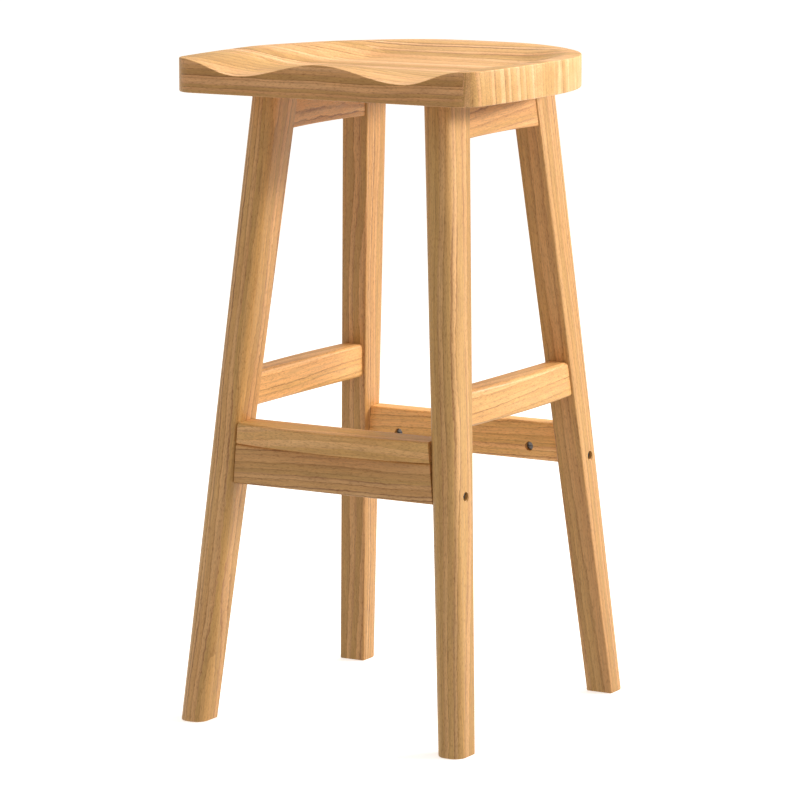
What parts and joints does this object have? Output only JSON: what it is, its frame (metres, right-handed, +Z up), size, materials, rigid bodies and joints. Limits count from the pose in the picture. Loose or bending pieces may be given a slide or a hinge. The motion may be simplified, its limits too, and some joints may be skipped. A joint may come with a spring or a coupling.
{
  "type": "bar stool",
  "caption": "Backless wooden bar stool with a carved saddle seat, splayed legs joined by aprons and rails, and a bowed footrest tread on the front rail.",
  "frame": {"origin": "on the floor, under the middle of the rectangle that the four feet stand in", "axes": "+Z up; the sitter faces -Y, so the footrest is on the -Y side; +X is to the left of a sitter facing -Y"},
  "size_m": [0.395, 0.3944, 0.75],
  "materials": {
    "seat_wood": "clear satin lacquer over pale straight-grained oak, edge-glued staves",
    "frame_wood": "clear satin lacquer over pale straight-grained oak",
    "dowel_wood": "bare fluted beech, glued in",
    "fastener_steel": "zinc-plated steel"
  },
  "bodies": {
    "root": {"apron_dowel_back_left_lower": "dowel_wood", "apron_dowel_back_left_upper": "dowel_wood", "apron_dowel_back_right_lower": "dowel_wood", "apron_dowel_back_right_upper": "dowel_wood", "apron_dowel_front_left_lower": "dowel_wood", "apron_dowel_front_left_upper": "dowel_wood", "apron_dowel_front_right_lower": "dowel_wood", "apron_dowel_front_right_upper": "dowel_wood", "apron_left": "frame_wood", "apron_right": "frame_wood", "back_barrel_nut_left": "fastener_steel", "back_barrel_nut_right": "fastener_steel", "back_bolt_left": "fastener_steel", "back_bolt_right": "fastener_steel", "back_rail": "frame_wood", "footrest_tread": "frame_wood", "front_barrel_nut_left": "fastener_steel", "front_barrel_nut_right": "fastener_steel", "front_bolt_left": "fastener_steel", "front_bolt_right": "fastener_steel", "front_rail": "frame_wood", "leg_back_left": "frame_wood", "leg_back_right": "frame_wood", "leg_front_left": "frame_wood", "leg_front_right": "frame_wood", "locating_dowel_back_left": "dowel_wood", "locating_dowel_back_right": "dowel_wood", "locating_dowel_front_left": "dowel_wood", "locating_dowel_front_right": "dowel_wood", "rail_dowel_back_left_lower": "dowel_wood", "rail_dowel_back_left_upper": "dowel_wood", "rail_dowel_back_right_lower": "dowel_wood", "rail_dowel_back_right_upper": "dowel_wood", "rail_dowel_front_left_lower": "dowel_wood", "rail_dowel_front_left_upper": "dowel_wood", "rail_dowel_front_right_lower": "dowel_wood", "rail_dowel_front_right_upper": "dowel_wood", "seat": "seat_wood", "seat_screw_back_left": "fastener_steel", "seat_screw_back_right": "fastener_steel", "seat_screw_front_left": "fastener_steel", "seat_screw_front_right": "fastener_steel", "side_rail_left": "frame_wood", "side_rail_right": "frame_wood", "tread_screw_left": "fastener_steel", "tread_screw_right": "fastener_steel"}
  },
  "joints": []
}
